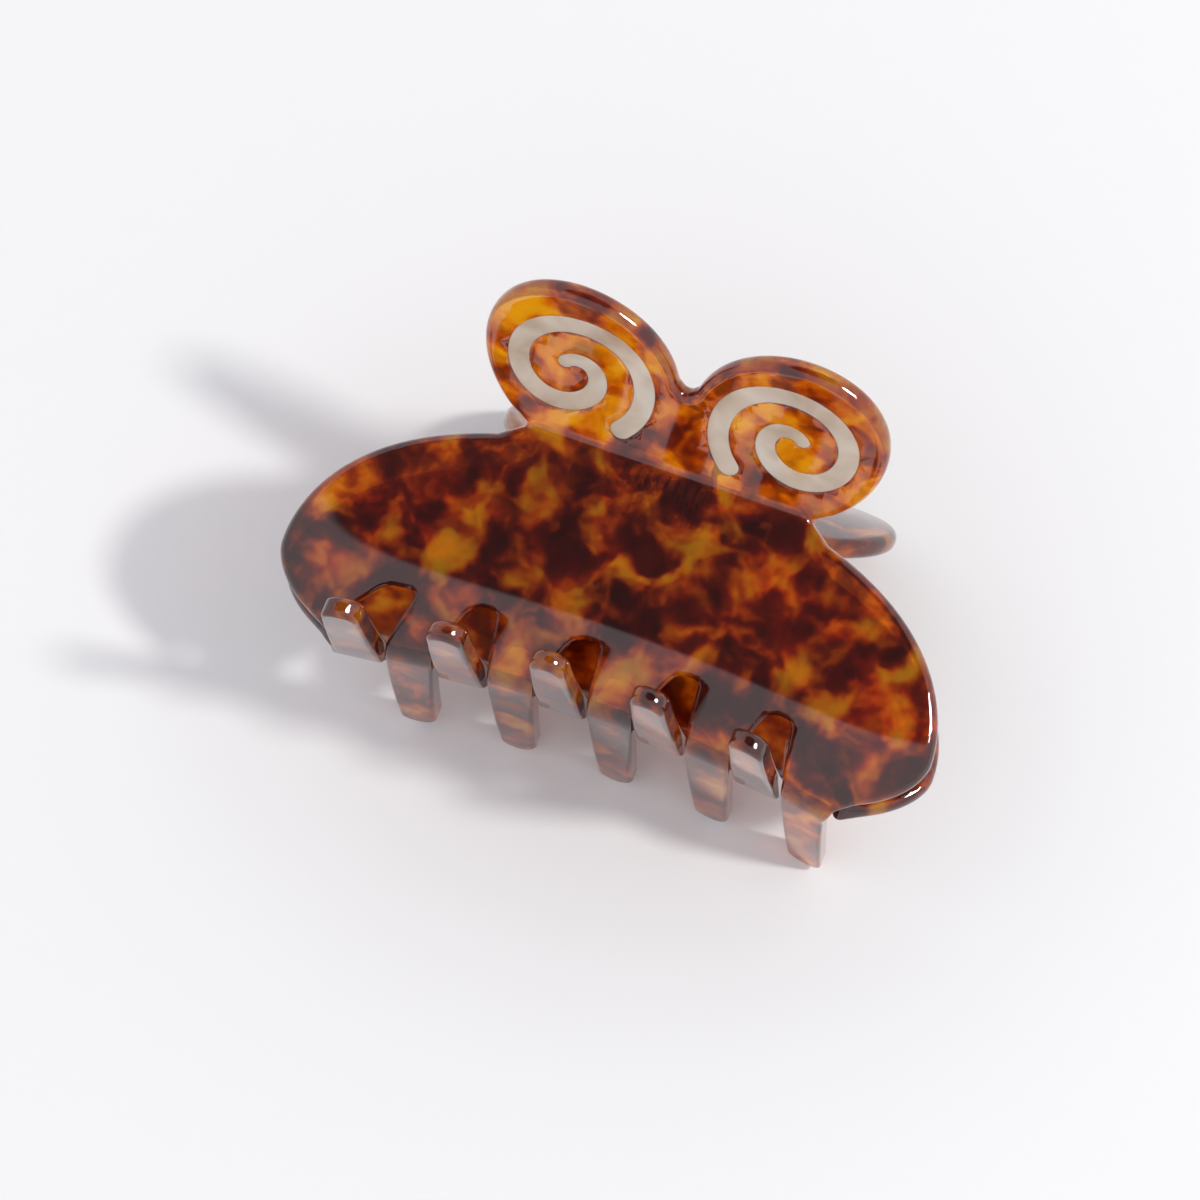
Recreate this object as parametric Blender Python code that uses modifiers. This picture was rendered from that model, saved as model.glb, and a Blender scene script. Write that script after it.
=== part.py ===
# Claw clip: two identical acetate jaws on one steel pin, closed by a torsion spring.
# Clip frame, before it is laid down: X along the hinge, Y to the rear, Z towards the handles.
import bpy
import bmesh
import numpy as np
from math import acos, atan2, cos, hypot, pi, radians, sin
from mathutils import Matrix

MM = 0.001

# jaw, as a flat pattern: x along the hinge, s down from the waist (the handle has s below 0).
# The rim's edges are rounder than those of the sawn comb, between the two CUT_END_X.
THICKNESS = 3.2
EDGE_RADIUS = 1.4
CUT_RADIUS = 0.6
CUT_END_X = (38.5, 42.5)
EDGE_STEPS = 2
WAIST_Y = 8.6
HALF_WIDTH = 50.4
WAIST_X = 21.9
WIDEST_S = 24.9
BODY_TOP_S = 0.0
BODY_END_S = 38.4
CORNER_START_X = 28.6
LOBE_CENTRE = (15.9, 13.1)
LOBE_RADII = (16.2, 14.5)
LOBE_TURN = 56.0
NOTCH_H = 14.6
TOOTH_PITCH = 7.69
TOOTH_PLACES = (-3.5, -1.5, 0.5, 2.5, 4.5)
ROOT_LEFT = (-28.3, -16.3, -0.3, 15.0, 29.6)
ROOT_RIGHT = (-19.9, -4.1, 11.7, 26.0, 40.5)
SLOT_TOP_S = 28.2
KNEE_S = 36.0
KNEE_WIDTH = 7.3
TIP_WIDTH = 5.5
TIP_S = 66.4
TIP_ARC = 2.0
FIRST_SLOT_X = -38.7

# bend of the sheet: angle of the downward direction from -Z, outwards, at each s
BEND_S = (-30.0, -2.0, 2.0, 22.0, 27.5, 33.5, 38.5, 70.0)
BEND_ANGLE = (-72.5, -54.0, 5.0, -4.0, -20.0, -20.0, -83.0, -92.0)
ARCH = 2.7
ARCH_X = 36.0
END_CURL = 3.0
END_CURL_X = 46.0

# spiral inlays in the handle
SPIRAL_CENTRE = (16.2, 12.6)
SPIRAL_START = 225.0
SPIRAL_TURN = (0.0, 45.0, 135.0, 180.0, 225.0, 270.0, 315.0, 360.0, 405.0, 495.0, 549.0)
SPIRAL_RADIUS = (11.4, 10.2, 9.7, 9.7, 9.3, 7.8, 5.5, 3.9, 3.0, 2.5, 2.6)
SPIRAL_WIDTH = 3.3
SPIRAL_END_WIDTH = 2.3
SPIRAL_NARROWS_AT = 330.0
SPIRAL_CAP_POINTS = 5
INLAY_DEPTH = 0.9
GAP = 0.3

# hinge
PIN_Z = -3.0
PIN_RADIUS = 1.0
PIN_HALF = 15.3
HEAD_RADIUS = 1.9
HEAD_LENGTH = 0.9
PIN_CHAMFER = 0.25
EYE_RADIUS = 3.3
CAP_CLEARANCE = 0.12
CAP_SKIRT = 1.0
CAP_TOP = 0.8
CAP_DOME = 0.5
ROUND_STEPS = 32
KNUCKLE_EDGE = 0.35
KNUCKLE_WIDTH = 3.0
KNUCKLE_CENTRES = (9.0, -12.5)
KNUCKLE_BASE_S = (0.0, 1.0, 2.0, 4.0, 6.0, 8.0)

# torsion spring
WIRE_RADIUS = 0.55
COIL_RADIUS = 2.9
COIL_HALF = 5.9
COIL_TURNS = 8
LEG_H = 12.0

# lying on the rear jaw, handles raised by this angle
LIE_ANGLE = 8.125
SHIFT = (0.0, 12.769, 31.466)

for old in list(bpy.data.objects):
    bpy.data.objects.remove(old)

scene = bpy.context.scene
clip = bpy.data.collections.new("claw_clip")
scene.collection.children.link(clip)
cutters = bpy.data.collections.new("claw_clip_cutters")
cutters.hide_render = True
scene.collection.children.link(cutters)

frame = bpy.data.objects.new("claw_clip_frame", None)
frame.rotation_euler = (radians(LIE_ANGLE - 90.0), 0.0, 0.0)
frame.location = tuple(v * MM for v in SHIFT)
clip.objects.link(frame)


def material(name, colour, roughness, metallic=0.0):
    made = bpy.data.materials.new(name)
    made.use_nodes = True
    shader = made.node_tree.nodes["Principled BSDF"]
    shader.inputs["Base Color"].default_value = (*colour, 1.0)
    shader.inputs["Roughness"].default_value = roughness
    shader.inputs["Metallic"].default_value = metallic
    return made


TORTOISE = material("tortoise_acetate", (0.15, 0.045, 0.02), 0.15)
PEARL = material("pearl_acetate", (0.60, 0.52, 0.44), 0.2)
STEEL = material("nickel_plated_steel", (0.66, 0.65, 0.63), 0.25, 1.0)

# one table of the bent sheet's middle line, from the handle tip to the tooth tip
STEP = 0.05
line_s = np.arange(BEND_S[0], BEND_S[-1] + STEP, STEP)
line_a = np.radians(np.interp(line_s, BEND_S, BEND_ANGLE))
line_y = np.concatenate([[0.0], np.cumsum(np.sin((line_a[1:] + line_a[:-1]) / 2.0) * STEP)])
line_z = -np.concatenate([[0.0], np.cumsum(np.cos((line_a[1:] + line_a[:-1]) / 2.0) * STEP)])
line_y += WAIST_Y - np.interp(0.0, line_s, line_y)
line_z -= np.interp(0.0, line_s, line_z)


def bent(x, s, n=0.0):
    """Point of the front jaw, in the clip frame, n outside the middle of the sheet."""
    angle = np.interp(s, line_s, line_a)
    out = np.interp(s, line_s, line_y) + n * cos(angle)
    up = np.interp(s, line_s, line_z) + n * sin(angle)
    low = min(max(s / KNEE_S, 0.0), 1.0)
    up -= ARCH * (x / ARCH_X) ** 2 * low
    out -= END_CURL * (x / END_CURL_X) ** 4 * low * low * (3.0 - 2.0 * low)
    return (x, -out, up)


def arc(centre, radius, first, last, count):
    turns = np.radians(np.linspace(first, last, count))
    return [(centre[0] + radius * cos(t), centre[1] + radius * sin(t)) for t in turns]


def rounded(corners, count=4):
    """Closed outline through corners of (x, s, radius)."""
    points = []
    for i, (x, s, radius) in enumerate(corners):
        before = corners[i - 1]
        after = corners[(i + 1) % len(corners)]
        if radius == 0.0:
            points.append((x, s))
            continue
        into = np.array([before[0] - x, before[1] - s])
        away = np.array([after[0] - x, after[1] - s])
        into /= np.linalg.norm(into)
        away /= np.linalg.norm(away)
        half = acos(max(-1.0, min(1.0, float(into @ away)))) / 2.0
        reach = radius * cos(half) / sin(half)
        centre = np.array([x, s]) + (into + away) / np.linalg.norm(into + away) * radius / sin(half)
        start = np.array([x, s]) + into * reach - centre
        end = np.array([x, s]) + away * reach - centre
        first = atan2(start[1], start[0])
        sweep = (atan2(end[1], end[0]) - first + pi) % (2.0 * pi) - pi
        for k in range(count + 1):
            t = first + sweep * k / count
            points.append((centre[0] + radius * cos(t), centre[1] + radius * sin(t)))
    return points


def lobe_outline(count=26):
    """Right lobe from the waist, round the outside, to the notch, as (x, s)."""
    turn = radians(LOBE_TURN)
    points = []
    for t in np.linspace(0.0, 2.0 * pi, 181):
        a = LOBE_RADII[0] * cos(t)
        b = LOBE_RADII[1] * sin(t)
        x = LOBE_CENTRE[0] + a * cos(turn) - b * sin(turn)
        h = LOBE_CENTRE[1] + a * sin(turn) + b * cos(turn)
        points.append((x, h, atan2(h - LOBE_CENTRE[1], x - LOBE_CENTRE[0])))
    points = sorted((p for p in points if p[2] > -1.06), key=lambda p: p[2])
    points = [p for p in points if p[0] > 6.0 or p[1] > NOTCH_H + 1.5]
    keep = np.linspace(0, len(points) - 1, count).astype(int)
    return [(points[i][0], -points[i][1], 0.0) for i in keep]


def body_side(sign):
    """Rim of the body from the waist to the lower corner, as (x, s)."""
    points = []
    for t in np.linspace(0.0, pi / 2.0, 15)[1:]:
        x = HALF_WIDTH * sin(t)
        if x > WAIST_X + 3.0:
            s = WIDEST_S - (WIDEST_S - BODY_TOP_S) * cos(t)
            points.append((sign * x, s, 0.0))
    for t in np.linspace(0.0, pi / 2.0, 12)[1:]:
        x = CORNER_START_X + (HALF_WIDTH - CORNER_START_X) * cos(t) ** 1.22
        points.append((sign * x, WIDEST_S + (BODY_END_S - WIDEST_S) * sin(t) ** 1.22, 0.0))
    return points


def tooth(place, left, right):
    """One tooth from its left root round the tip to its right root, as (x, s, radius)."""
    x = place * TOOTH_PITCH
    tip = TIP_WIDTH / 2.0
    end = TIP_S - TIP_ARC * (x / ARCH_X) ** 2
    knee = KNEE_WIDTH / 2.0
    points = [(left, SLOT_TOP_S, 0.9), (x - knee, KNEE_S, 0.0)]
    points += [(px, ps, 0.0) for px, ps in arc((x, end - tip), tip, 180.0, 0.0, 9)]
    points += [(x + knee, KNEE_S, 0.0), (right, SLOT_TOP_S, 3.0)]
    return points


def jaw_outline():
    right_lobe = lobe_outline()
    left_lobe = [(-x, s, r) for x, s, r in reversed(right_lobe)]
    right_body = [p for p in body_side(1.0) if not (p[0] < 40.9 and p[1] > WIDEST_S)]
    left_body = [p for p in body_side(-1.0) if not (p[0] > -40.6 and p[1] > WIDEST_S)]
    corners = [(0.0, -NOTCH_H, 0.9)] + left_lobe + [(-WAIST_X, 0.6, 0.7)] + left_body
    corners.append((FIRST_SLOT_X - 0.2, 36.0, 1.3))
    corners.append((FIRST_SLOT_X + 1.6, SLOT_TOP_S + 3.8, 0.0))
    corners.append((FIRST_SLOT_X + 5.6, SLOT_TOP_S, 3.4))
    for i, (place, left, right) in enumerate(zip(TOOTH_PLACES, ROOT_LEFT, ROOT_RIGHT)):
        points = tooth(place, left, right)
        if i == len(TOOTH_PLACES) - 1:
            points = points[:-2] + [(place * TOOTH_PITCH + 3.3, 40.0, 0.0), (39.3, 36.2, 1.6)]
        corners += points
    corners += list(reversed(right_body)) + [(WAIST_X, 0.6, 0.7)] + right_lobe
    return rounded(corners)


def object_from(name, mesh, look, into=clip):
    made = bpy.data.objects.new(name, mesh)
    made.data.materials.append(look)
    into.objects.link(made)
    made.parent = frame
    return made


def mesh_from(name, points, faces):
    mesh = bpy.data.meshes.new(name)
    mesh.from_pydata([tuple(c * MM for c in p) for p in points], [], faces)
    tidy = bmesh.new()
    tidy.from_mesh(mesh)
    bmesh.ops.recalc_face_normals(tidy, faces=tidy.faces)
    tidy.to_mesh(mesh)
    tidy.free()
    return mesh


def edge_radii(points):
    """Radius of the rounded edge at each point: the sawn comb is sharper than the rim."""
    at = np.abs(np.array(points))
    along = np.clip((at[:, 0] - CUT_END_X[0]) / (CUT_END_X[1] - CUT_END_X[0]), 0.0, 1.0)
    along[np.array(points)[:, 1] < WIDEST_S] = 1.0
    return CUT_RADIUS + (EDGE_RADIUS - CUT_RADIUS) * along * along * (3.0 - 2.0 * along)


def inset(points, depth):
    """The closed outline moved inwards by depth."""
    at = np.array(points)
    before = at - np.roll(at, 1, axis=0)
    after = np.roll(at, -1, axis=0) - at
    before /= np.linalg.norm(before, axis=1)[:, None]
    after /= np.linalg.norm(after, axis=1)[:, None]
    area = np.sum(at[:, 0] * np.roll(at[:, 1], -1) - np.roll(at[:, 0], -1) * at[:, 1])
    turn = 1.0 if area > 0.0 else -1.0
    normal = turn * np.stack([-(before[:, 1] + after[:, 1]), before[:, 0] + after[:, 0]], axis=1)
    normal /= np.linalg.norm(normal, axis=1)[:, None]
    side = turn * np.stack([-before[:, 1], before[:, 0]], axis=1)
    mitre = np.maximum(np.sum(normal * side, axis=1), 0.6)
    return at + normal * (depth / mitre)[:, None]


def jaw_sheet(name):
    """Jaw cut from flat sheet with rounded edges, cut into strips and bent, drawn round the pin."""
    outline = jaw_outline()
    radii = edge_radii(outline)
    flat = bmesh.new()
    half = THICKNESS / 2.0
    rings = []
    for side in (-1.0, 1.0):
        turns = np.linspace(0.0, pi / 2.0, EDGE_STEPS + 1)
        for t in turns[::-1] if side < 0.0 else turns:
            ring = inset(outline, radii * (1.0 - cos(t)))
            heights = side * (half - radii * (1.0 - sin(t)))
            rings.append([flat.verts.new((x, s, n)) for (x, s), n in zip(ring, heights)])
    flat.faces.new(rings[0][::-1])
    flat.faces.new(rings[-1])
    for low, high in zip(rings[:-1], rings[1:]):
        for i in range(len(outline)):
            j = (i + 1) % len(outline)
            flat.faces.new((low[i], low[j], high[j], high[i]))
    stations = list(np.arange(-26.0, -3.0, 4.0)) + [-2.0, -1.0, 0.0, 1.0, 2.0]
    stations += list(np.arange(6.0, 23.0, 4.0)) + [24.7, 27.0, 30.0, 33.5, 34.75, 36.0, 37.25, 38.5]
    stations += list(np.arange(45.0, 64.0, 9.0))
    for s in stations:
        parts = flat.verts[:] + flat.edges[:] + flat.faces[:]
        bmesh.ops.bisect_plane(flat, geom=parts, plane_co=(0.0, s, 0.0), plane_no=(0.0, 1.0, 0.0))
    for x in np.arange(-44.0, 45.0, 8.0):
        parts = flat.verts[:] + flat.edges[:] + flat.faces[:]
        bmesh.ops.bisect_plane(flat, geom=parts, plane_co=(x, 0.0, 0.0), plane_no=(1.0, 0.0, 0.0))
    for v in flat.verts:
        px, py, pz = bent(v.co.x, v.co.y, v.co.z)
        v.co = (px * MM, py * MM, (pz - PIN_Z) * MM)
    bmesh.ops.recalc_face_normals(flat, faces=flat.faces)
    mesh = bpy.data.meshes.new(name)
    flat.to_mesh(mesh)
    flat.free()
    return mesh


def spiral_path(count=64):
    """Middle line and half width of the spiral band, as (x, h, half)."""
    turn = np.linspace(0.0, SPIRAL_TURN[-1], 400)
    radius = np.interp(turn, SPIRAL_TURN, SPIRAL_RADIUS)
    padded = np.pad(radius, 24, mode="edge")
    smooth = np.convolve(padded, np.ones(49) / 49.0, mode="valid")
    path = []
    for t, r in list(zip(turn, smooth))[:: 400 // count] + [(turn[-1], smooth[-1])]:
        angle = radians(SPIRAL_START - t)
        narrow = np.interp(t, (0.0, SPIRAL_NARROWS_AT, SPIRAL_TURN[-1]), (1.0, 1.0, 0.0))
        width = SPIRAL_END_WIDTH + (SPIRAL_WIDTH - SPIRAL_END_WIDTH) * narrow
        path.append((SPIRAL_CENTRE[0] + r * cos(angle), SPIRAL_CENTRE[1] + r * sin(angle), width / 2.0))
    return path


def spiral_body(side, grow, low, high):
    """Points and faces of the band between depths low and high, its outline grown by grow."""
    path = np.array(spiral_path())
    way = np.gradient(path[:, :2], axis=0)
    way /= np.linalg.norm(way, axis=1)[:, None]
    across = np.stack([-way[:, 1], way[:, 0]], axis=1)
    half = path[:, 2:3] + grow
    left = path[:, :2] + across * half
    right = path[:, :2] - across * half
    ends = []
    for at, direction, side_way in ((0, -way[0], across[0]), (-1, way[-1], -across[-1])):
        cap = [
            path[at, :2] + half[at] * (side_way * cos(t) + direction * sin(t))
            for t in np.linspace(0.0, pi, SPIRAL_CAP_POINTS + 2)[1:-1]
        ]
        ends.append(cap)
    rows = [(left[i], right[i]) for i in range(len(path))]
    points = []
    faces = []
    for depth in (low, high):
        for a, b in rows:
            points.append(bent(side * a[0], -a[1], depth))
            points.append(bent(side * b[0], -b[1], depth))
        for cap in ends:
            points += [bent(side * p[0], -p[1], depth) for p in cap]
    n = len(rows)
    layer = 2 * n + 2 * SPIRAL_CAP_POINTS
    start_cap = [2 * n + k for k in range(SPIRAL_CAP_POINTS)]
    end_cap = [2 * n + SPIRAL_CAP_POINTS + k for k in range(SPIRAL_CAP_POINTS)]
    rim = [2 * i + 1 for i in range(n)] + end_cap
    rim += [2 * i for i in range(n - 1, -1, -1)] + start_cap
    for base in (0, layer):
        for i in range(n - 1):
            faces.append([base + v for v in (2 * i, 2 * i + 1, 2 * i + 3, 2 * i + 2)])
        faces.append([base + v for v in [0] + start_cap + [1]])
        faces.append([base + v for v in [2 * n - 1] + end_cap + [2 * n - 2]])
    for i, v in enumerate(rim):
        w = rim[(i + 1) % len(rim)]
        faces.append([v, w, w + layer, v + layer])
    return [(x, y, z - PIN_Z) for x, y, z in points], faces


def set_on_pin(made, rear):
    """Puts a piece drawn round the pin of the front jaw in place, or turned to the rear jaw."""
    made.location = (0.0, 0.0, PIN_Z * MM)
    made.rotation_euler = (0.0, 0.0, pi if rear else 0.0)


def inlay_name(rear, side):
    jaw = "rear" if rear else "front"
    right = (side > 0.0) != rear
    return jaw + ("_right" if right else "_left") + "_spiral_inlay"


face_n = THICKNESS / 2.0
for rear in (False, True):
    jaw_name = "rear_jaw" if rear else "front_jaw"
    jaw = object_from(jaw_name, jaw_sheet(jaw_name), TORTOISE)
    set_on_pin(jaw, rear)
    for side in (-1.0, 1.0):
        name = inlay_name(rear, side)
        points, faces = spiral_body(side, GAP, face_n - INLAY_DEPTH - GAP, face_n + 0.8)
        cutter = object_from(name + "_pocket", mesh_from(name + "_pocket", points, faces), PEARL, cutters)
        set_on_pin(cutter, rear)
        cutter.hide_render = True
        cutter.display_type = "WIRE"
        pocket = jaw.modifiers.new(name + "_pocket", "BOOLEAN")
        pocket.operation = "DIFFERENCE"
        pocket.solver = "EXACT"
        pocket.object = cutter
        points, faces = spiral_body(side, 0.0, face_n - INLAY_DEPTH, face_n)
        inlay = object_from(name, mesh_from(name, points, faces), PEARL)
        set_on_pin(inlay, rear)


def screwed(name, profile, look):
    """Turned piece round the pin axis: an outline of (x, radius) with a Screw modifier."""
    mesh = bpy.data.meshes.new(name)
    points = [(x * MM, 0.0, r * MM) for x, r in profile]
    edges = [(i, i + 1) for i in range(len(points) - 1)]
    mesh.from_pydata(points, edges, [])
    made = object_from(name, mesh, look)
    set_on_pin(made, False)
    turned = made.modifiers.new("turned", "SCREW")
    turned.axis = "X"
    turned.steps = ROUND_STEPS
    turned.render_steps = ROUND_STEPS
    turned.use_merge_vertices = True
    turned.merge_threshold = 0.00001
    turned.use_smooth_shade = False
    return made


def flat_cut(name, outline, width, look):
    """Piece cut from a plate of that width standing across the pin, outline in (y, z)."""
    curve = bpy.data.curves.new(name, "CURVE")
    curve.dimensions = "2D"
    curve.fill_mode = "BOTH"
    curve.extrude = width / 2.0 * MM
    rim = curve.splines.new("POLY")
    rim.points.add(len(outline) - 1)
    rim.use_cyclic_u = True
    for point, (y, z) in zip(rim.points, outline):
        point.co = (y * MM, z * MM, 0.0, 1.0)
    drawn = bpy.data.objects.new(name, curve)
    clip.objects.link(drawn)
    graph = bpy.context.evaluated_depsgraph_get()
    mesh = bpy.data.meshes.new_from_object(drawn.evaluated_get(graph))
    bpy.data.objects.remove(drawn)
    # the curve's own plane, x to the right and y up, becomes Y and Z
    mesh.transform(Matrix.Rotation(pi / 2.0, 4, "Z") @ Matrix.Rotation(pi / 2.0, 4, "X"))
    tidy = bmesh.new()
    tidy.from_mesh(mesh)
    bmesh.ops.remove_doubles(tidy, verts=tidy.verts[:], dist=0.00001)
    tidy.to_mesh(mesh)
    tidy.free()
    return object_from(name, mesh, look)


def knuckle_outline(centre):
    """Lug from the inner face of the waist to an eye round the pin, in (y, z) from the pin."""
    base = [bent(centre, s, -face_n - GAP) for s in KNUCKLE_BASE_S]
    rim = [(y, z - PIN_Z) for x, y, z in base]
    return rim + [(EYE_RADIUS * cos(t), EYE_RADIUS * sin(t)) for t in np.linspace(-1.75, 1.75, 15)]


bpy.ops.mesh.primitive_cylinder_add(vertices=ROUND_STEPS, radius=(PIN_RADIUS + GAP) * MM, depth=0.05)
bore = bpy.context.object
bore.name = "knuckle_bore"
for old_home in list(bore.users_collection):
    old_home.objects.unlink(bore)
cutters.objects.link(bore)
bore.data.transform(Matrix.Rotation(pi / 2.0, 4, "Y"))
bore.parent = frame
set_on_pin(bore, False)
bore.hide_render = True
bore.display_type = "WIRE"

for rear in (False, True):
    for centre in KNUCKLE_CENTRES:
        right = (centre > 0.0) != rear
        name = ("rear" if rear else "front") + ("_right" if right else "_left") + "_knuckle"
        lug = flat_cut(name, knuckle_outline(centre), KNUCKLE_WIDTH, TORTOISE)
        set_on_pin(lug, rear)
        lug.location.x = (-centre if rear else centre) * MM
        soft = lug.modifiers.new("polished_edges", "BEVEL")
        soft.width = KNUCKLE_EDGE * MM
        soft.segments = 2
        soft.limit_method = "ANGLE"
        soft.angle_limit = radians(50.0)
        eye = lug.modifiers.new("pin_hole", "BOOLEAN")
        eye.operation = "DIFFERENCE"
        eye.solver = "EXACT"
        eye.object = bore

pin_profile = [
    (-PIN_HALF, 0.0),
    (-PIN_HALF, HEAD_RADIUS - 0.5),
    (-PIN_HALF + 0.2, HEAD_RADIUS - 0.15),
    (-PIN_HALF + 0.4, HEAD_RADIUS),
    (-PIN_HALF + HEAD_LENGTH, HEAD_RADIUS),
    (-PIN_HALF + HEAD_LENGTH, PIN_RADIUS),
    (PIN_HALF - PIN_CHAMFER, PIN_RADIUS),
    (PIN_HALF, PIN_RADIUS - PIN_CHAMFER),
    (PIN_HALF, 0.0),
]
screwed("hinge_pin", pin_profile[::-1], STEEL)
cap_bore = PIN_RADIUS + CAP_CLEARANCE
cap_profile = [
    (PIN_HALF + CAP_TOP, 0.0),
    (PIN_HALF + CAP_TOP, HEAD_RADIUS - CAP_DOME),
    (PIN_HALF + CAP_TOP - CAP_DOME, HEAD_RADIUS),
    (PIN_HALF - CAP_SKIRT, HEAD_RADIUS),
    (PIN_HALF - CAP_SKIRT, cap_bore),
    (PIN_HALF + CAP_CLEARANCE, cap_bore),
    (PIN_HALF + CAP_CLEARANCE, 0.0),
]
screwed("pin_cap", cap_profile, STEEL)


def spring_path():
    """Middle line of the wire round the pin: rear leg, coil, front leg."""
    end = bent(0.0, -LEG_H, -(face_n + WIRE_RADIUS + GAP))
    leg_y = -end[1]
    leg_z = end[2] - PIN_Z
    reach = hypot(leg_y, leg_z)
    start = atan2(leg_z, leg_y) + acos(COIL_RADIUS / reach)
    whole = 2.0 * pi * COIL_TURNS - 2.0 * (start - pi / 2.0)
    count = COIL_TURNS * 20
    path = [(-COIL_HALF, leg_y, leg_z)]
    for i in range(count + 1):
        t = start + whole * i / count
        x = -COIL_HALF + 2.0 * COIL_HALF * i / count
        path.append((x, COIL_RADIUS * cos(t), COIL_RADIUS * sin(t)))
    path.append((COIL_HALF, -leg_y, leg_z))
    return path


wire = bpy.data.curves.new("torsion_spring", "CURVE")
wire.dimensions = "3D"
wire.bevel_depth = WIRE_RADIUS * MM
wire.bevel_resolution = 2
wire.use_fill_caps = True
strand = wire.splines.new("POLY")
along = spring_path()
strand.points.add(len(along) - 1)
for point, (x, y, z) in zip(strand.points, along):
    point.co = (x * MM, y * MM, z * MM, 1.0)
wire.materials.append(STEEL)
spring = bpy.data.objects.new("torsion_spring", wire)
clip.objects.link(spring)
spring.parent = frame
set_on_pin(spring, False)
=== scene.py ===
from math import acos, atan2, cos, hypot, pi, radians, sin

import bmesh
import bpy
import numpy as np
from mathutils import Matrix, Vector


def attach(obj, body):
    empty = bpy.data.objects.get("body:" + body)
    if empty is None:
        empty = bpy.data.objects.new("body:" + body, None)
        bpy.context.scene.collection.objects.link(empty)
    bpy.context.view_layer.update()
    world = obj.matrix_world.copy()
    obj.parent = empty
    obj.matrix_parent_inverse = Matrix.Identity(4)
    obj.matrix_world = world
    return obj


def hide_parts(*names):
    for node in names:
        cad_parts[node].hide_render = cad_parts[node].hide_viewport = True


# Claw clip: fine meshes for the two bent acetate jaws, their inlays and the hinge, with
# tortoiseshell, pearl and nickel materials. Lengths are in millimetres until they reach a mesh.
MM = 0.001

# where the closed clip lies: its own Z points along the floor, raised by this angle
LIE_ANGLE = 8.125
SHIFT = (0.0, 12.769, 31.466)
PIN_Z = -3.0

# the jaw's flat pattern: x along the hinge, s down from the waist
THICKNESS = 3.2
EDGE_RADIUS = 1.4
CUT_RADIUS = 0.6
CUT_END_X = (38.5, 42.5)
EDGE_STEPS = 6
WAIST_Y = 8.6
HALF_WIDTH = 50.4
WAIST_X = 21.9
WIDEST_S = 24.9
BODY_TOP_S = 0.0
BODY_END_S = 38.4
CORNER_START_X = 28.6
CORNER_POWER = 1.22
RIM_CLEAR_OF_WAIST = 3.0
# s and radius of the corner where handle and body meet
WAIST_CORNER = (0.6, 0.7)
RIM_END_RIGHT = 40.9
RIM_END_LEFT = -40.6
LOBE_CENTRE = (15.9, 13.1)
LOBE_RADII = (16.2, 14.5)
LOBE_TURN = 56.0
LOBE_FIRST_ANGLE = -1.06
LOBE_INNER_X = 6.0
LOBE_ABOVE_NOTCH = 1.5
NOTCH_H = 14.6
NOTCH_RADIUS = 0.9
TOOTH_PITCH = 7.69
TOOTH_PLACES = (-3.5, -1.5, 0.5, 2.5, 4.5)
ROOT_LEFT = (-28.3, -16.3, -0.3, 15.0, 29.6)
ROOT_RIGHT = (-19.9, -4.1, 11.7, 26.0, 40.5)
SLOT_TOP_S = 28.2
ROOT_RADII = (0.9, 3.0)
# the first slot's outer side, and the root right of the last tooth, as (x, s, radius)
FIRST_SLOT = ((-38.9, 36.0, 1.3), (-37.1, SLOT_TOP_S + 3.8, 0.0), (-33.1, SLOT_TOP_S, 3.4))
LAST_ROOT = (39.3, 36.2, 1.6)
# the last tooth's right knee: x from the middle of the tooth, and s
LAST_KNEE = (3.3, 40.0)
KNEE_S = 36.0
KNEE_WIDTH = 7.3
TIP_WIDTH = 5.5
TIP_S = 66.4
TIP_ARC = 2.0
TIP_ROUND_LENGTH = 4.5
MITRE_LEAST = 0.6

# the sheet's bends
BEND_S = (-30.0, -2.0, 2.0, 22.0, 27.5, 33.5, 38.5, 70.0)
BEND_ANGLE = (-72.5, -54.0, 5.0, -4.0, -20.0, -20.0, -83.0, -92.0)
ARCH = 2.7
ARCH_X = 36.0
END_CURL = 3.0
END_CURL_X = 46.0

# spiral inlays
SPIRAL_CENTRE = (16.2, 12.6)
SPIRAL_START = 225.0
SPIRAL_TURN = (0.0, 45.0, 135.0, 180.0, 225.0, 270.0, 315.0, 360.0, 405.0, 495.0, 549.0)
SPIRAL_RADIUS = (11.4, 10.2, 9.7, 9.7, 9.3, 7.8, 5.5, 3.9, 3.0, 2.5, 2.6)
SPIRAL_WIDTH = 3.3
SPIRAL_END_WIDTH = 2.3
SPIRAL_NARROWS_AT = 330.0
SPIRAL_CAP_POINTS = 13
SPIRAL_SAMPLES = 400
SPIRAL_SOFTEN = 49
INLAY_DEPTH = 0.9
GLUE_LINE = 0.02
CUTTER_OVERHANG = 0.8
INLAY_RIM = 0.15

# torsion spring
WIRE_RADIUS = 0.55
COIL_RADIUS = 2.9
COIL_HALF = 5.9
COIL_TURNS = 8
COIL_STEPS = 36
LEG_H = 12.0
GAP = 0.3

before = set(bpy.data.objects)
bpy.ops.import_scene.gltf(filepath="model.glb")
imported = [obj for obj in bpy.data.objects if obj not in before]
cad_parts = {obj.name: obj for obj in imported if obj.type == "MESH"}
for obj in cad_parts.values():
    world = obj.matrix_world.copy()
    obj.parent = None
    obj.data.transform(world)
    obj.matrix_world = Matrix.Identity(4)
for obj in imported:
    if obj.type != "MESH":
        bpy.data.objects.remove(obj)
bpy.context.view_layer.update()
scene = bpy.context.scene

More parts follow.
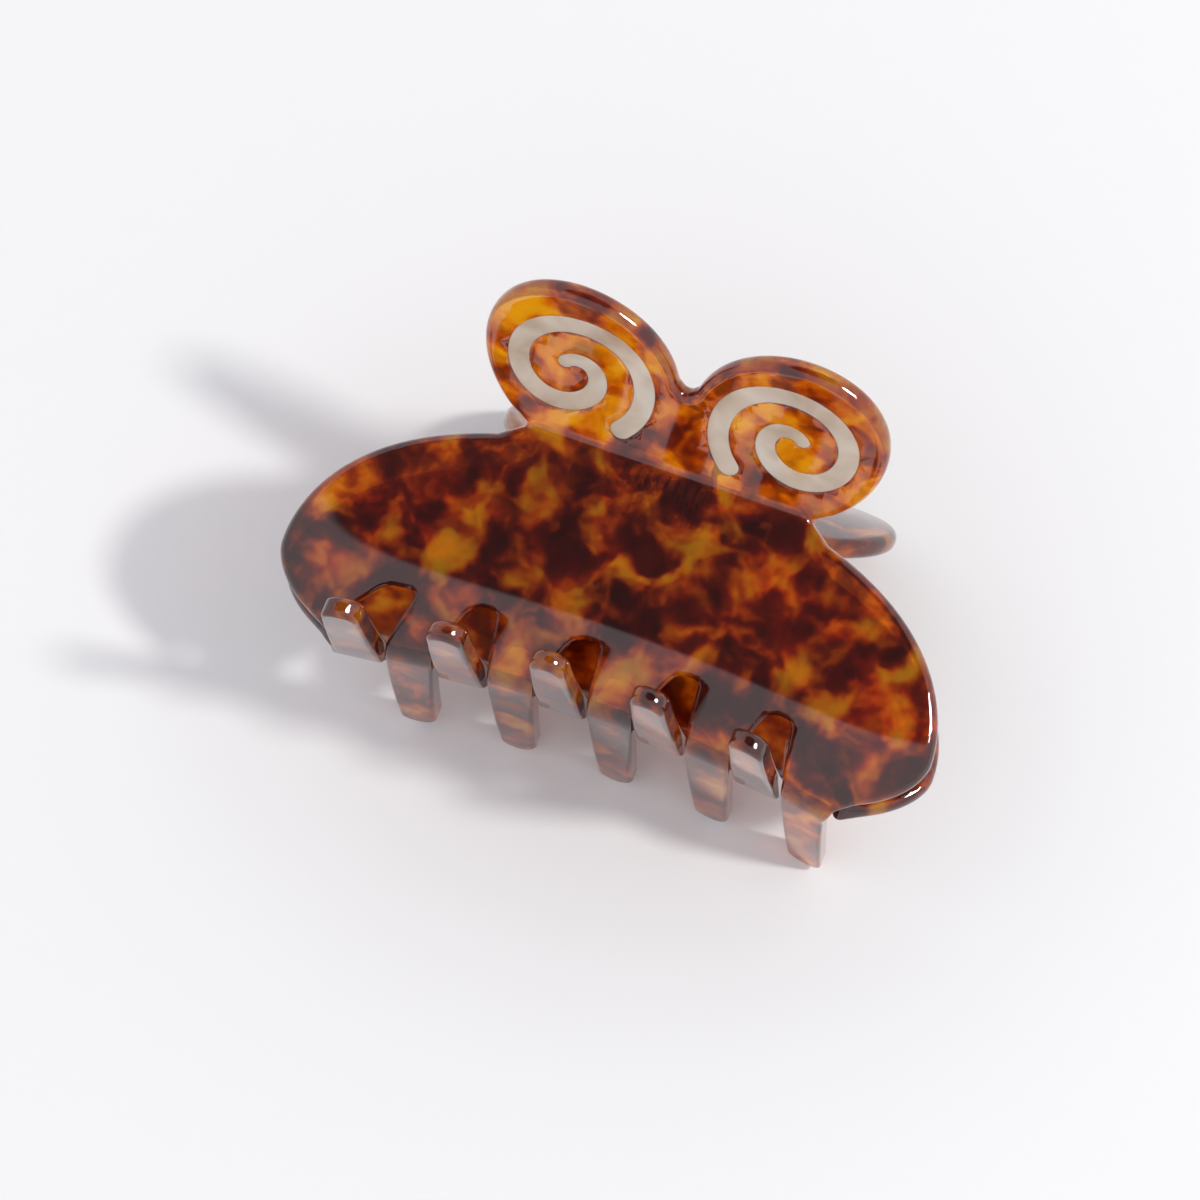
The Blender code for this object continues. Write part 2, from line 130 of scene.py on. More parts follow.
# one table of the sheet's middle line, its bends softened over SOFTEN steps
STEP = 0.05
SOFTEN = 17
line_s = np.arange(BEND_S[0], BEND_S[-1] + STEP, STEP)
raw_angle = np.radians(np.interp(line_s, BEND_S, BEND_ANGLE))
padded_angle = np.pad(raw_angle, SOFTEN // 2, mode="edge")
line_a = np.convolve(padded_angle, np.ones(SOFTEN) / SOFTEN, mode="valid")
line_y = np.concatenate([[0.0], np.cumsum(np.sin((line_a[1:] + line_a[:-1]) / 2.0) * STEP)])
line_z = -np.concatenate([[0.0], np.cumsum(np.cos((line_a[1:] + line_a[:-1]) / 2.0) * STEP)])
line_y += WAIST_Y - np.interp(0.0, line_s, line_y)
line_z -= np.interp(0.0, line_s, line_z)

lie = Matrix.Translation(Vector(SHIFT) * MM) @ Matrix.Rotation(radians(LIE_ANGLE - 90.0), 4, "X")


def clip_matrix(rear=False):
    """From the front jaw's own frame, in metres, to where that jaw lies."""
    return lie @ Matrix.Rotation(pi, 4, "Z") if rear else lie


def bent(x, s, n=0.0):
    """Point of the front jaw, n outside the middle of the sheet."""
    angle = np.interp(s, line_s, line_a)
    out = np.interp(s, line_s, line_y) + n * cos(angle)
    up = np.interp(s, line_s, line_z) + n * sin(angle)
    low = min(max(s / KNEE_S, 0.0), 1.0)
    up -= ARCH * (x / ARCH_X) ** 2 * low
    out -= END_CURL * (x / END_CURL_X) ** 4 * low * low * (3.0 - 2.0 * low)
    return (x, -out, up)


def arc(centre, radius, first, last, count):
    turns = np.radians(np.linspace(first, last, count))
    return [(centre[0] + radius * cos(t), centre[1] + radius * sin(t)) for t in turns]


def rounded(corners, count=9):
    """Closed outline through corners of (x, s, radius)."""
    points = []
    for i, (x, s, radius) in enumerate(corners):
        if radius == 0.0:
            points.append((x, s))
            continue
        before = corners[i - 1]
        after = corners[(i + 1) % len(corners)]
        into = np.array([before[0] - x, before[1] - s])
        away = np.array([after[0] - x, after[1] - s])
        into /= np.linalg.norm(into)
        away /= np.linalg.norm(away)
        half = acos(max(-1.0, min(1.0, float(into @ away)))) / 2.0
        reach = radius * cos(half) / sin(half)
        centre = np.array([x, s]) + (into + away) / np.linalg.norm(into + away) * radius / sin(half)
        start = np.array([x, s]) + into * reach - centre
        end = np.array([x, s]) + away * reach - centre
        first = atan2(start[1], start[0])
        sweep = (atan2(end[1], end[0]) - first + pi) % (2.0 * pi) - pi
        for k in range(count + 1):
            t = first + sweep * k / count
            points.append((centre[0] + radius * cos(t), centre[1] + radius * sin(t)))
    return points


def lobe_outline(count=70):
    """Right lobe from the waist, round the outside, to the notch, as (x, s, radius)."""
    turn = radians(LOBE_TURN)
    points = []
    for t in np.linspace(0.0, 2.0 * pi, 721):
        a = LOBE_RADII[0] * cos(t)
        b = LOBE_RADII[1] * sin(t)
        x = LOBE_CENTRE[0] + a * cos(turn) - b * sin(turn)
        h = LOBE_CENTRE[1] + a * sin(turn) + b * cos(turn)
        points.append((x, h, atan2(h - LOBE_CENTRE[1], x - LOBE_CENTRE[0])))
    points = sorted((p for p in points if p[2] > LOBE_FIRST_ANGLE), key=lambda p: p[2])
    points = [p for p in points if p[0] > LOBE_INNER_X or p[1] > NOTCH_H + LOBE_ABOVE_NOTCH]
    keep = np.linspace(0, len(points) - 1, count).astype(int)
    return [(points[i][0], -points[i][1], 0.0) for i in keep]


def body_side(sign):
    """Rim of the body from the waist to the lower corner, as (x, s, radius)."""
    points = []
    for t in np.linspace(0.0, pi / 2.0, 48)[1:]:
        x = HALF_WIDTH * sin(t)
        if x > WAIST_X + RIM_CLEAR_OF_WAIST:
            s = WIDEST_S - (WIDEST_S - BODY_TOP_S) * cos(t)
            points.append((sign * x, s, 0.0))
    for t in np.linspace(0.0, pi / 2.0, 36)[1:]:
        x = CORNER_START_X + (HALF_WIDTH - CORNER_START_X) * cos(t) ** CORNER_POWER
        s = WIDEST_S + (BODY_END_S - WIDEST_S) * sin(t) ** CORNER_POWER
        points.append((sign * x, s, 0.0))
    return points


def tooth(place, left, right):
    """One tooth from its left root round the tip to its right root, as (x, s, radius)."""
    x = place * TOOTH_PITCH
    tip = TIP_WIDTH / 2.0
    end = TIP_S - TIP_ARC * (x / ARCH_X) ** 2
    knee = KNEE_WIDTH / 2.0
    points = [(left, SLOT_TOP_S, ROOT_RADII[0]), (x - knee, KNEE_S, 0.0)]
    points += [(px, ps, 0.0) for px, ps in arc((x, end - tip), tip, 180.0, 0.0, 25)]
    points += [(x + knee, KNEE_S, 0.0), (right, SLOT_TOP_S, ROOT_RADII[1])]
    return points


def jaw_outline():
    """Whole outline of the flat jaw: left lobe and rim, the comb, right rim and lobe."""
    waist_s, waist_radius = WAIST_CORNER
    right_lobe = lobe_outline()
    left_lobe = [(-x, s, r) for x, s, r in reversed(right_lobe)]
    right_body = [p for p in body_side(1.0) if not (p[0] < RIM_END_RIGHT and p[1] > WIDEST_S)]
    left_body = [p for p in body_side(-1.0) if not (p[0] > RIM_END_LEFT and p[1] > WIDEST_S)]
    corners = [(0.0, -NOTCH_H, NOTCH_RADIUS)] + left_lobe
    corners += [(-WAIST_X, waist_s, waist_radius)] + left_body + list(FIRST_SLOT)
    for i, (place, left, right) in enumerate(zip(TOOTH_PLACES, ROOT_LEFT, ROOT_RIGHT)):
        points = tooth(place, left, right)
        if i == len(TOOTH_PLACES) - 1:
            last_x = place * TOOTH_PITCH + LAST_KNEE[0]
            points = points[:-2] + [(last_x, LAST_KNEE[1], 0.0), LAST_ROOT]
        corners += points
    corners += list(reversed(right_body)) + [(WAIST_X, waist_s, waist_radius)] + right_lobe
    return rounded(corners)


def edge_radii(points):
    """Radius of the rounded edge at each point: the sawn comb is sharper than the rim."""
    at = np.abs(np.array(points))
    along = np.clip((at[:, 0] - CUT_END_X[0]) / (CUT_END_X[1] - CUT_END_X[0]), 0.0, 1.0)
    s = np.array(points)[:, 1]
    along[s < WIDEST_S] = 1.0
    tip = np.clip((s - (TIP_S - TIP_ROUND_LENGTH)) / TIP_ROUND_LENGTH, 0.0, 1.0)
    along = np.maximum(along, tip)
    return CUT_RADIUS + (EDGE_RADIUS - CUT_RADIUS) * along * along * (3.0 - 2.0 * along)


def inset(points, depth):
    """The closed outline moved inwards by depth."""
    at = np.array(points)
    before = at - np.roll(at, 1, axis=0)
    after = np.roll(at, -1, axis=0) - at
    before /= np.linalg.norm(before, axis=1)[:, None]
    after /= np.linalg.norm(after, axis=1)[:, None]
    area = np.sum(at[:, 0] * np.roll(at[:, 1], -1) - np.roll(at[:, 0], -1) * at[:, 1])
    turn = 1.0 if area > 0.0 else -1.0
    normal = turn * np.stack([-(before[:, 1] + after[:, 1]), before[:, 0] + after[:, 0]], axis=1)
    normal /= np.linalg.norm(normal, axis=1)[:, None]
    side = turn * np.stack([-before[:, 1], before[:, 0]], axis=1)
    mitre = np.maximum(np.sum(normal * side, axis=1), MITRE_LEAST)
    return at + normal * (depth / mitre)[:, None]


def jaw_sheet(name):
    """Jaw cut from flat sheet with rounded edges, cut into a fine grid and bent."""
    outline = jaw_outline()
    radii = edge_radii(outline)
    flat = bmesh.new()
    half = THICKNESS / 2.0
    rings = []
    for side in (-1.0, 1.0):
        turns = np.linspace(0.0, pi / 2.0, EDGE_STEPS + 1)
        for t in turns[::-1] if side < 0.0 else turns:
            ring = inset(outline, radii * (1.0 - cos(t)))
            heights = side * (half - radii * (1.0 - sin(t)))
            rings.append([flat.verts.new((x, s, n)) for (x, s), n in zip(ring, heights)])
    flat.faces.new(rings[0][::-1])
    flat.faces.new(rings[-1])
    for low, high in zip(rings[:-1], rings[1:]):
        for i in range(len(outline)):
            j = (i + 1) % len(outline)
            flat.faces.new((low[i], low[j], high[j], high[i]))
    # cuts across the sheet, closer together where it bends
    stations = list(np.arange(-28.0, -3.0, 2.0)) + list(np.arange(-2.4, 2.5, 0.4))
    stations += list(np.arange(4.0, 21.0, 2.0)) + list(np.arange(21.5, 29.0, 0.75))
    stations += [30.5, 32.0] + list(np.arange(33.1, 39.0, 0.4)) + list(np.arange(41.0, 66.0, 2.5))
    for s in stations:
        parts = flat.verts[:] + flat.edges[:] + flat.faces[:]
        bmesh.ops.bisect_plane(flat, geom=parts, plane_co=(0.0, s, 0.0), plane_no=(0.0, 1.0, 0.0))
    for x in np.arange(-49.0, 49.5, 2.0):
        parts = flat.verts[:] + flat.edges[:] + flat.faces[:]
        bmesh.ops.bisect_plane(flat, geom=parts, plane_co=(x, 0.0, 0.0), plane_no=(1.0, 0.0, 0.0))
    down_sheet = flat.verts.layers.float.new("down_sheet")
    for v in flat.verts:
        v[down_sheet] = v.co.y
        px, py, pz = bent(v.co.x, v.co.y, v.co.z)
        v.co = (px * MM, py * MM, pz * MM)
    bmesh.ops.recalc_face_normals(flat, faces=flat.faces)
    mesh = bpy.data.meshes.new(name)
    flat.to_mesh(mesh)
    flat.free()
    return mesh


def mesh_from(name, points, faces):
    mesh = bpy.data.meshes.new(name)
    mesh.from_pydata([tuple(c * MM for c in p) for p in points], [], faces)
    work = bmesh.new()
    work.from_mesh(mesh)
    bmesh.ops.recalc_face_normals(work, faces=work.faces)
    work.to_mesh(mesh)
    work.free()
    return mesh


def spiral_path(count=200):
    """Middle line and half width of the spiral band, as (x, h, half)."""
    turn = np.linspace(0.0, SPIRAL_TURN[-1], SPIRAL_SAMPLES)
    radius = np.interp(turn, SPIRAL_TURN, SPIRAL_RADIUS)
    padded = np.pad(radius, SPIRAL_SOFTEN // 2, mode="edge")
    smooth = np.convolve(padded, np.ones(SPIRAL_SOFTEN) / SPIRAL_SOFTEN, mode="valid")
    path = []
    places = list(zip(turn, smooth))
    for t, r in places[:: SPIRAL_SAMPLES // count] + [places[-1]]:
        angle = radians(SPIRAL_START - t)
        narrow = np.interp(t, (0.0, SPIRAL_NARROWS_AT, SPIRAL_TURN[-1]), (1.0, 1.0, 0.0))
        width = SPIRAL_END_WIDTH + (SPIRAL_WIDTH - SPIRAL_END_WIDTH) * narrow
        path.append((SPIRAL_CENTRE[0] + r * cos(angle), SPIRAL_CENTRE[1] + r * sin(angle), width / 2.0))
    return path


def spiral_body(side, grow, low, high):
    """Points and faces of the band between depths low and high, its outline grown by grow."""
    path = np.array(spiral_path())
    way = np.gradient(path[:, :2], axis=0)
    way /= np.linalg.norm(way, axis=1)[:, None]
    across = np.stack([-way[:, 1], way[:, 0]], axis=1)
    half = path[:, 2:3] + grow
    left = path[:, :2] + across * half
    right = path[:, :2] - across * half
    ends = []
    for at, direction, side_way in ((0, -way[0], across[0]), (-1, way[-1], -across[-1])):
        ends.append([
            path[at, :2] + half[at] * (side_way * cos(t) + direction * sin(t))
            for t in np.linspace(0.0, pi, SPIRAL_CAP_POINTS + 2)[1:-1]
        ])
    points = []
    faces = []
    for depth in (low, high):
        for a, b in zip(left, right):
            points.append(bent(side * a[0], -a[1], depth))
            points.append(bent(side * b[0], -b[1], depth))
        for cap in ends:
            points += [bent(side * p[0], -p[1], depth) for p in cap]
    n = len(path)
    layer = 2 * n + 2 * SPIRAL_CAP_POINTS
    start_cap = [2 * n + k for k in range(SPIRAL_CAP_POINTS)]
    end_cap = [2 * n + SPIRAL_CAP_POINTS + k for k in range(SPIRAL_CAP_POINTS)]
    rim = [2 * i + 1 for i in range(n)] + end_cap
    rim += [2 * i for i in range(n - 1, -1, -1)] + start_cap
    for base in (0, layer):
        for i in range(n - 1):
            faces.append([base + v for v in (2 * i, 2 * i + 1, 2 * i + 3, 2 * i + 2)])
        faces.append([base + v for v in [0] + start_cap + [1]])
        faces.append([base + v for v in [2 * n - 1] + end_cap + [2 * n - 2]])
    for i, v in enumerate(rim):
        w = rim[(i + 1) % len(rim)]
        faces.append([v, w, w + layer, v + layer])
    return points, faces


# ---- materials -------------------------------------------------------------------------

ACETATE_IOR = 1.49


def new_material(name):
    """A material with a Principled shader, its nodes and links."""
    made = bpy.data.materials.new(name)
    made.use_nodes = True
    nodes = made.node_tree.nodes
    return made, nodes, made.node_tree.links, nodes["Principled BSDF"]


def noise(nodes, links, vector, scale, detail=3.0, roughness=0.5, distortion=0.0):
    made = nodes.new("ShaderNodeTexNoise")
    made.inputs["Scale"].default_value = scale
    made.inputs["Detail"].default_value = detail
    made.inputs["Roughness"].default_value = roughness
    made.inputs["Distortion"].default_value = distortion
    links.new(vector, made.inputs["Vector"])
    return made


def ramp(nodes, links, value, stops, interpolation="LINEAR"):
    made = nodes.new("ShaderNodeValToRGB")
    made.color_ramp.interpolation = interpolation
    elements = made.color_ramp.elements
    while len(elements) < len(stops):
        elements.new(0.5)
    for element, (at, colour) in zip(elements, stops):
        element.position = at
        element.color = (*colour, 1.0)
    links.new(value, made.inputs["Fac"])
    return made


def maths(nodes, links, operation, first, second):
    made = nodes.new("ShaderNodeMath")
    made.operation = operation
    for socket, value in zip(made.inputs, (first, second)):
        if isinstance(value, (int, float)):
            socket.default_value = value
        else:
            links.new(value, socket)
    return made.outputs["Value"]


def moved(nodes, links, coords, wander, amount, offset):
    """Coordinates pushed about by a colour noise, and shifted to another part of the pattern."""
    spread = nodes.new("ShaderNodeVectorMath")
    spread.operation = "MULTIPLY_ADD"
    links.new(wander, spread.inputs[0])
    spread.inputs[1].default_value = (amount, amount, amount)
    links.new(coords, spread.inputs[2])
    shift = nodes.new("ShaderNodeVectorMath")
    shift.operation = "ADD"
    links.new(spread.outputs["Vector"], shift.inputs[0])
    shift.inputs[1].default_value = offset
    return shift.outputs["Vector"]


def clip_coords(nodes, links, rear=False):
    """Object coordinates turned back into the jaw's own frame."""
    made = nodes.new("ShaderNodeMapping")
    made.vector_type = "TEXTURE"
    made.inputs["Location"].default_value = [v * MM for v in SHIFT]
    tilt = radians(LIE_ANGLE - 90.0)
    made.inputs["Rotation"].default_value = (-tilt, 0.0, pi) if rear else (tilt, 0.0, 0.0)
    links.new(nodes.new("ShaderNodeTexCoord").outputs["Object"], made.inputs["Vector"])
    return made.outputs["Vector"]


def sheet_range(nodes, links, start, end, amount, smooth=True):
    """Value that goes from 0 to amount as the distance down the flat sheet goes from start to end."""
    down = nodes.new("ShaderNodeAttribute")
    down.attribute_name = "down_sheet"
    made = nodes.new("ShaderNodeMapRange")
    if smooth:
        made.interpolation_type = "SMOOTHSTEP"
    made.inputs["From Min"].default_value = start
    made.inputs["From Max"].default_value = end
    made.inputs["To Min"].default_value = 0.0
    made.inputs["To Max"].default_value = amount
    links.new(down.outputs["Fac"], made.inputs["Value"])
    return made.outputs["Result"]


def tortoise(name, offset, handle_light_and_shade, rear=False):
    """Polished tortoiseshell acetate: amber ground with soft dark clouds.

    The comb is denser and the tooth tips are paler. The handle's tone is painted: lighter on the front
    jaw for light shining through it from the floor, darker on the rear jaw for the shade on its edge-on
    lobe."""
    made, nodes, links, shader = new_material(name)
    coords = clip_coords(nodes, links, rear)
    wander = noise(nodes, links, coords, 160.0, 2.0)
    place = moved(nodes, links, coords, wander.outputs["Color"], 0.004, offset)
    clouds = noise(nodes, links, place, 150.0, 2.0, 0.5, 0.4)
    flecks = noise(nodes, links, place, 420.0, 2.0, 0.5)
    small = maths(nodes, links, "MULTIPLY", flecks.outputs["Fac"], 0.28)
    level = maths(nodes, links, "ADD", clouds.outputs["Fac"], small)
    denser_comb = sheet_range(nodes, links, 22.0, 34.0, -0.045)
    # painted light and shade on the handle: a positive amount lightens the front handle for light
    # shining through it, a negative one darkens the rear handle for the shade on its edge-on lobe
    painted_handle_light_and_shade = sheet_range(nodes, links, 6.0, -6.0, handle_light_and_shade)
    paler_tips = sheet_range(nodes, links, 46.0, 66.0, 0.05, smooth=False)
    for change in (denser_comb, painted_handle_light_and_shade, paler_tips):
        level = maths(nodes, links, "ADD", level, change)
    colour = ramp(nodes, links, level, (
        (0.51, (0.060, 0.007, 0.005)),
        (0.595, (0.17, 0.013, 0.004)),
        (0.655, (0.47, 0.055, 0.002)),
        (0.725, (0.78, 0.155, 0.002)),
        (0.815, (0.98, 0.46, 0.006)),
    ), "B_SPLINE")
    links.new(colour.outputs["Color"], shader.inputs["Base Color"])
    shader.inputs["Roughness"].default_value = 0.06
    shader.inputs["IOR"].default_value = ACETATE_IOR
    shader.inputs["Transmission Weight"].default_value = 0.75
    shader.inputs["Coat Weight"].default_value = 0.6
    shader.inputs["Coat Roughness"].default_value = 0.03
    ripple = noise(nodes, links, coords, 90.0, 2.0)
    bump = nodes.new("ShaderNodeBump")
    bump.inputs["Strength"].default_value = 0.05
    bump.inputs["Distance"].default_value = 0.0004
    links.new(ripple.outputs["Fac"], bump.inputs["Height"])
    links.new(bump.outputs["Normal"], shader.inputs["Normal"])
    return made


def pearl():
    """Pearly acetate: warm grey-white with soft drifting streaks."""
    made, nodes, links, shader = new_material("pearl_acetate_fine")
    coords = clip_coords(nodes, links)
    wander = noise(nodes, links, coords, 120.0, 2.0)
    place = moved(nodes, links, coords, wander.outputs["Color"], 0.006, (0.03, 0.01, 0.02))
    streaks = noise(nodes, links, place, 130.0, 2.0, 0.5, 0.4)
    colour = ramp(nodes, links, streaks.outputs["Fac"], (
        (0.30, (0.56, 0.43, 0.31)),
        (0.48, (0.74, 0.63, 0.50)),
        (0.66, (0.88, 0.80, 0.69)),
    ))
    links.new(colour.outputs["Color"], shader.inputs["Base Color"])
    gloss = ramp(nodes, links, streaks.outputs["Fac"], ((0.3, (0.12,) * 3), (0.7, (0.25,) * 3)))
    links.new(gloss.outputs["Color"], shader.inputs["Roughness"])
    shader.inputs["IOR"].default_value = ACETATE_IOR
    shader.inputs["Transmission Weight"].default_value = 0.25
    shader.inputs["Subsurface Weight"].default_value = 0.35
    shader.inputs["Subsurface Radius"].default_value = (1.0, 0.8, 0.6)
    shader.inputs["Subsurface Scale"].default_value = 0.0015
    shader.inputs["Coat Weight"].default_value = 0.6
    shader.inputs["Coat Roughness"].default_value = 0.03
    return made


def nickel():
    """Bright nickel plate with slight tarnish."""
    made, nodes, links, shader = new_material("nickel_fine")
    coords = nodes.new("ShaderNodeTexCoord").outputs["Object"]
    tarnish = noise(nodes, links, coords, 900.0, 3.0)
    colour = ramp(nodes, links, tarnish.outputs["Fac"], (
        (0.35, (0.56, 0.54, 0.51)),
        (0.65, (0.74, 0.73, 0.71)),
    ))
    links.new(colour.outputs["Color"], shader.inputs["Base Color"])
    shader.inputs["Metallic"].default_value = 1.0
    rough = ramp(nodes, links, tarnish.outputs["Fac"], ((0.3, (0.16,) * 3), (0.7, (0.30,) * 3)))
    links.new(rough.outputs["Color"], shader.inputs["Roughness"])
    return made


def paper():
    """Matt white sweep under the clip."""
    made, _, _, shader = new_material("paper_sweep")
    shader.inputs["Base Color"].default_value = (0.90, 0.90, 0.91, 1.0)
    shader.inputs["Roughness"].default_value = 0.8
    shader.inputs["Specular IOR Level"].default_value = 0.1
    return made


# the last number is painted handle light on the front jaw and painted handle shade on the rear jaw
FRONT_SHELL = tortoise("tortoise_front", (0.013, 0.021, 0.005), 0.075)
REAR_SHELL = tortoise("tortoise_rear", (0.213, -0.121, 0.305), -0.02, True)
PEARL = pearl()
NICKEL = nickel()


# ---- pieces ----------------------------------------------------------------------------

FACE_N = THICKNESS / 2.0
SHARP_ANGLE = radians(50.0)
WELD_WITHIN = 0.01


def finish_piece(made, body, replaced):
    """Shows a piece in place of a CAD node, moving with that body."""
    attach(made, body)
    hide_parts(replaced)


def shown_mesh(made):
    """New mesh of the object as it is shown, with its modifiers."""
    graph = bpy.context.evaluated_depsgraph_get()
    return bpy.data.meshes.new_from_object(made.evaluated_get(graph))


def shade(mesh):
    mesh.polygons.foreach_set("use_smooth", [True] * len(mesh.polygons))


def cut_pockets(made):
    """Cuts the two spiral pockets into a jaw that is still in its own frame."""
    cutters = []
    for side in (-1.0, 1.0):
        floor_n = FACE_N - INLAY_DEPTH - GLUE_LINE
        points, faces = spiral_body(side, GLUE_LINE, floor_n, FACE_N + CUTTER_OVERHANG)
        cutter = bpy.data.objects.new("pocket_cutter", mesh_from("pocket_cutter", points, faces))
        scene.collection.objects.link(cutter)
        cut = made.modifiers.new("pocket", "BOOLEAN")
        cut.operation = "DIFFERENCE"
        cut.solver = "EXACT"
        cut.object = cutter
        cutters.append(cutter)
    mesh = shown_mesh(made)
    made.modifiers.clear()
    uncut = made.data
    made.data = mesh
    bpy.data.meshes.remove(uncut)
    for cutter in cutters:
        bpy.data.objects.remove(cutter)


def add_inlay(side, rear):
    """Pearl band set flush in the pocket of one lobe."""
    right = (side > 0.0) != rear
    name = ("rear" if rear else "front") + ("_right" if right else "_left") + "_spiral_inlay"
    points, faces = spiral_body(side, 0.0, FACE_N - INLAY_DEPTH, FACE_N)
    inlay = bpy.data.objects.new(name + "_band", mesh_from(name + "_band", points, faces))
    scene.collection.objects.link(inlay)
    inlay.data.materials.append(PEARL)
    soft = inlay.modifiers.new("soft_rim", "BEVEL")
    soft.width = INLAY_RIM * MM
    soft.segments = 2
    soft.limit_method = "ANGLE"
    soft.angle_limit = SHARP_ANGLE
    inlay.data.transform(clip_matrix(rear))
    finish_piece(inlay, "rear_jaw" if rear else "front_jaw", name)


def add_jaw(rear):
    node = "rear_jaw" if rear else "front_jaw"
    made = bpy.data.objects.new(node + "_sheet", jaw_sheet(node + "_sheet"))
    scene.collection.objects.link(made)
    made.data.materials.append(REAR_SHELL if rear else FRONT_SHELL)
    cut_pockets(made)
    shade(made.data)
    even = made.modifiers.new("flat_faces_first", "WEIGHTED_NORMAL")
    even.keep_sharp = True
    made.data.transform(clip_matrix(rear))
    finish_piece(made, node, node)
    for side in (-1.0, 1.0):
        add_inlay(side, rear)


def wire_piece(name, path, body):
    """Round wire along points in the clip frame, riding that body in place of the CAD spring."""
    curve = bpy.data.curves.new(name, "CURVE")
    curve.dimensions = "3D"
    curve.bevel_depth = WIRE_RADIUS * MM
    curve.bevel_resolution = 4
    curve.use_fill_caps = True
    strand = curve.splines.new("POLY")
    strand.points.add(len(path) - 1)
    for point, (x, y, z) in zip(strand.points, path):
        point.co = (x * MM, y * MM, z * MM, 1.0)
    drawn = bpy.data.objects.new(name, curve)
    scene.collection.objects.link(drawn)
    mesh = shown_mesh(drawn)
    bpy.data.objects.remove(drawn)
    caps = bmesh.new()
    caps.from_mesh(mesh)
    bmesh.ops.remove_doubles(caps, verts=caps.verts[:], dist=WELD_WITHIN * MM)
    caps.to_mesh(mesh)
    caps.free()
    mesh.materials.append(NICKEL)
    mesh.transform(lie)
    shade(mesh)
    mesh.set_sharp_from_angle(angle=SHARP_ANGLE)
    made = bpy.data.objects.new(name, mesh)
    scene.collection.objects.link(made)
    finish_piece(made, body, "torsion_spring")


def add_spring():
    """Coil and rear leg stay with the rear jaw; the front leg swings with the front jaw."""
    end = bent(0.0, -LEG_H, -(FACE_N + WIRE_RADIUS + GAP))
    leg_y = -end[1]
    leg_z = end[2] - PIN_Z
    start = atan2(leg_z, leg_y) + acos(COIL_RADIUS / hypot(leg_y, leg_z))
    whole = 2.0 * pi * COIL_TURNS - 2.0 * (start - pi / 2.0)
    count = COIL_TURNS * COIL_STEPS
    coil = []
    for i in range(count + 1):
        t = start + whole * i / count
        x = -COIL_HALF + 2.0 * COIL_HALF * i / count
        coil.append((x, COIL_RADIUS * cos(t), PIN_Z + COIL_RADIUS * sin(t)))
    rear_end = (-COIL_HALF, leg_y, PIN_Z + leg_z)
    front_end = (COIL_HALF, -leg_y, PIN_Z + leg_z)
    wire_piece("torsion_spring_coil", [rear_end] + coil, "rear_jaw")
    wire_piece("torsion_spring_front_leg", [coil[-1], front_end], "front_jaw")


def dress_cad(name, material):
    """Gives a CAD piece, which is shown as it is, its material."""
    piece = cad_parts[name]
    piece.data.materials.clear()
    piece.data.materials.append(material)


for rear in (False, True):
    add_jaw(rear)
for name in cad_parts:
    if name.endswith("_knuckle"):
        dress_cad(name, FRONT_SHELL)
for name in ("hinge_pin", "pin_cap"):
    dress_cad(name, NICKEL)
add_spring()


# ---- floor, light and camera -------------------------------------------------------------

FLOOR_HALF = 3.0
floor_mesh = bpy.data.meshes.new("floor")
floor_corners = [
    (x * FLOOR_HALF, y * FLOOR_HALF, 0.0) for x, y in ((-1, -1), (1, -1), (1, 1), (-1, 1))
]
floor_mesh.from_pydata(floor_corners, [], [(0, 1, 2, 3)])
floor = bpy.data.objects.new("floor", floor_mesh)
floor.data.materials.append(paper())
scene.collection.objects.link(floor)


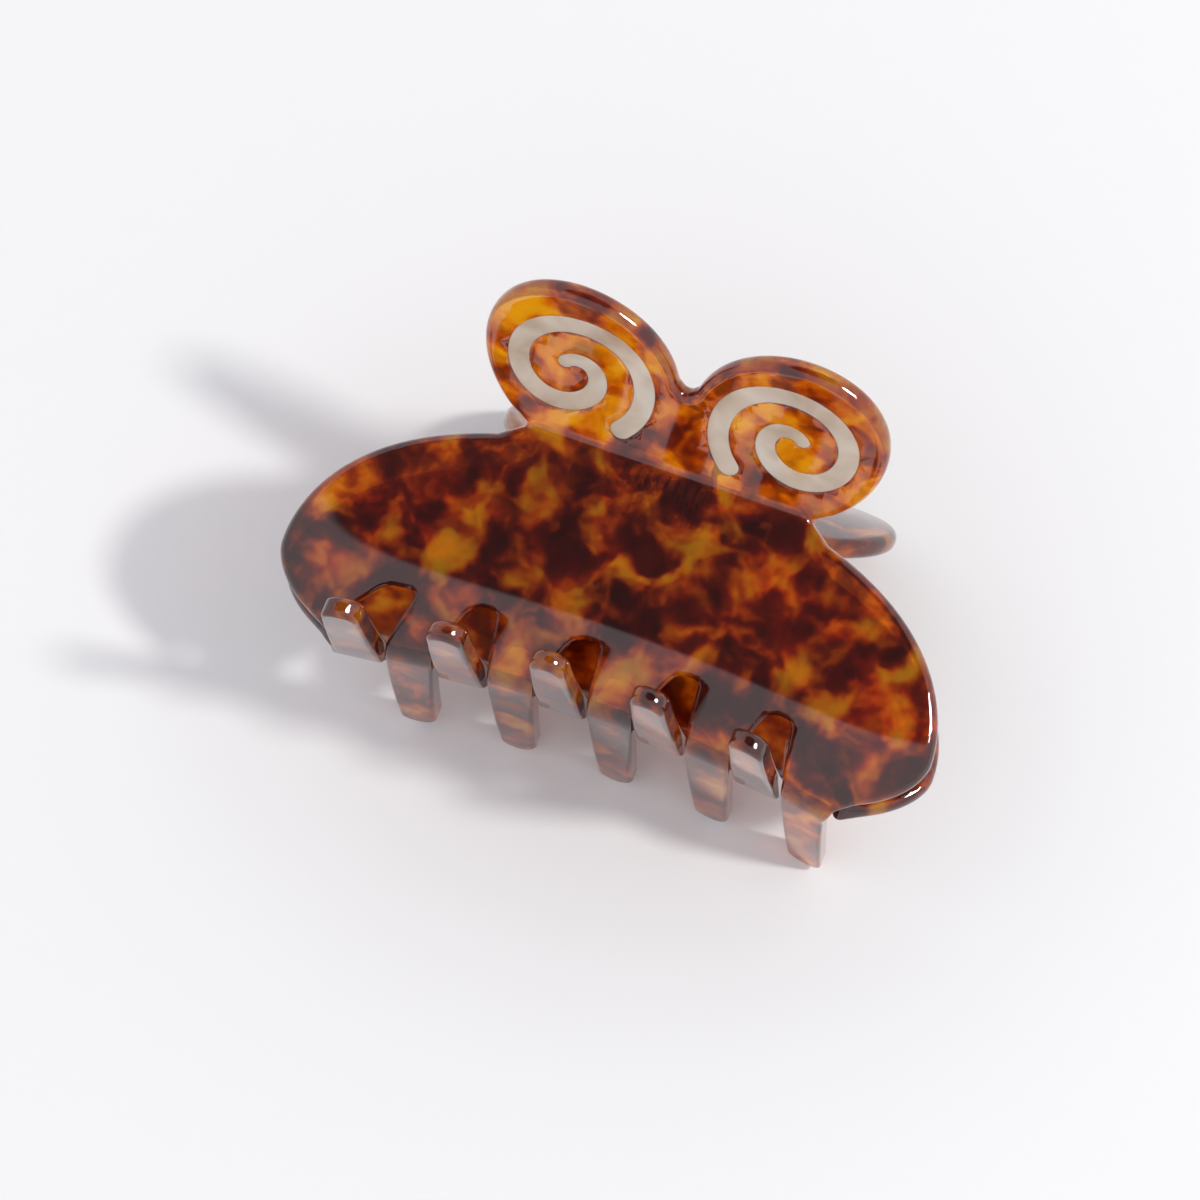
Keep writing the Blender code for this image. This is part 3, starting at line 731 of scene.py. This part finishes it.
def studio_world():
    """White room with a dark round patch overhead, which leans away from the camera."""
    made = bpy.data.worlds.new("studio")
    made.use_nodes = True
    nodes = made.node_tree.nodes
    links = made.node_tree.links
    background = nodes["Background"]
    split = nodes.new("ShaderNodeSeparateXYZ")
    links.new(nodes.new("ShaderNodeTexCoord").outputs["Generated"], split.inputs["Vector"])
    lean = maths(nodes, links, "MULTIPLY", split.outputs["Y"], 0.10)
    height = maths(nodes, links, "ADD", split.outputs["Z"], lean)
    colour = ramp(nodes, links, height, (
        (0.00, (0.965, 0.970, 1.00)),
        (0.862, (0.950, 0.955, 1.00)),
        (0.892, (0.11, 0.11, 0.12)),
    ), "EASE")
    links.new(colour.outputs["Color"], background.inputs["Color"])
    background.inputs["Strength"].default_value = 0.95
    return made


scene.world = studio_world()
scene.view_settings.view_transform = "Standard"


LAMP_AIM = (0.0, 0.0, 0.02)


def lamp(name, direction, distance, size, power, colour=(1.0, 1.0, 1.0)):
    """A round lamp, in metres, that far out in that direction from the clip and facing it."""
    data = bpy.data.lights.new(name, "AREA")
    data.shape = "DISK"
    data.size = size
    data.energy = power
    data.color = colour
    made = bpy.data.objects.new(name, data)
    away = Vector(direction).normalized()
    made.location = Vector(LAMP_AIM) + away * distance
    made.rotation_euler = away.to_track_quat("Z", "Y").to_euler()
    scene.collection.objects.link(made)
    return made


KEY_FROM = (0.66, 0.02, 0.75)
KEY_DISTANCE = 3.0
lamp("key", KEY_FROM, KEY_DISTANCE, 0.34, 41.0, (1.0, 0.985, 0.94))
# the diffuser round the key lamp shows in the polish and adds nothing to the shadows
diffuser = lamp("key_diffuser", KEY_FROM, KEY_DISTANCE, 1.1, 120.0)
diffuser.visible_diffuse = False
diffuser.visible_transmission = False

# The camera looks down from the front right with a long lens.
VIEW_TURN = 21.81
VIEW_DOWN = 65.91
VIEW_ROLL = -1.0
VIEW_DISTANCE = 1038.3
VIEW_AIM = (-4.79, -5.40, 24.69)
camera_data = bpy.data.cameras.new("camera")
camera_data.lens = 212.25
camera_data.sensor_width = 36.0
camera_data.clip_end = 20.0
camera = bpy.data.objects.new("camera", camera_data)
turn = Matrix.Rotation(radians(VIEW_TURN), 4, "Z")
tilt = Matrix.Rotation(radians(90.0 - VIEW_DOWN), 4, "X")
roll = Matrix.Rotation(radians(VIEW_ROLL), 4, "Z")
aim = Matrix.Translation(Vector(VIEW_AIM) * MM)
camera.matrix_world = aim @ turn @ tilt @ roll @ Matrix.Translation((0.0, 0.0, VIEW_DISTANCE * MM))
scene.collection.objects.link(camera)
scene.camera = camera
